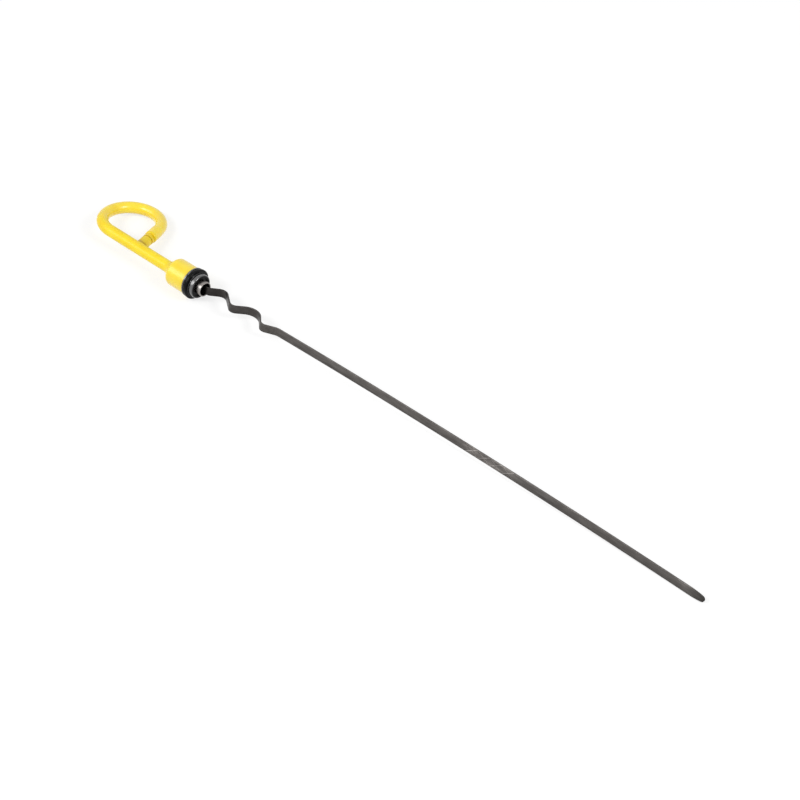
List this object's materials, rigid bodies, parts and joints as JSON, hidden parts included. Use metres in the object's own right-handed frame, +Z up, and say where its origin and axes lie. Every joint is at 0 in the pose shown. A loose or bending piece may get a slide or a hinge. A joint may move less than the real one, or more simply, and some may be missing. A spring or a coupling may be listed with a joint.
{
  "type": "engine oil dipstick",
  "caption": "Flat spring steel gauge blade with a waved neck, a hatched level range and a rounded tip, on a looped finger handle with a rubber-sealed cap.",
  "frame": {"origin": "centre of the flange's front face, which seats on the mouth of the engine's guide tube", "axes": "+X runs along the blade towards its tip (1.1 degrees above the stem's axis), +Y towards the finger loop's side, +Z up from the surface the gauge lies on"},
  "size_m": [0.4096, 0.0418, 0.0167],
  "materials": {
    "handle": "glossy, moulded",
    "seal": "smooth, glossy from the mould",
    "stem_tube": "drawn, bright",
    "blade": "dark, oil-tempered, satin"
  },
  "bodies": {
    "root": {"handle": "handle", "seal": "seal", "stem_tube": "stem_tube", "blade": "blade"}
  },
  "joints": []
}
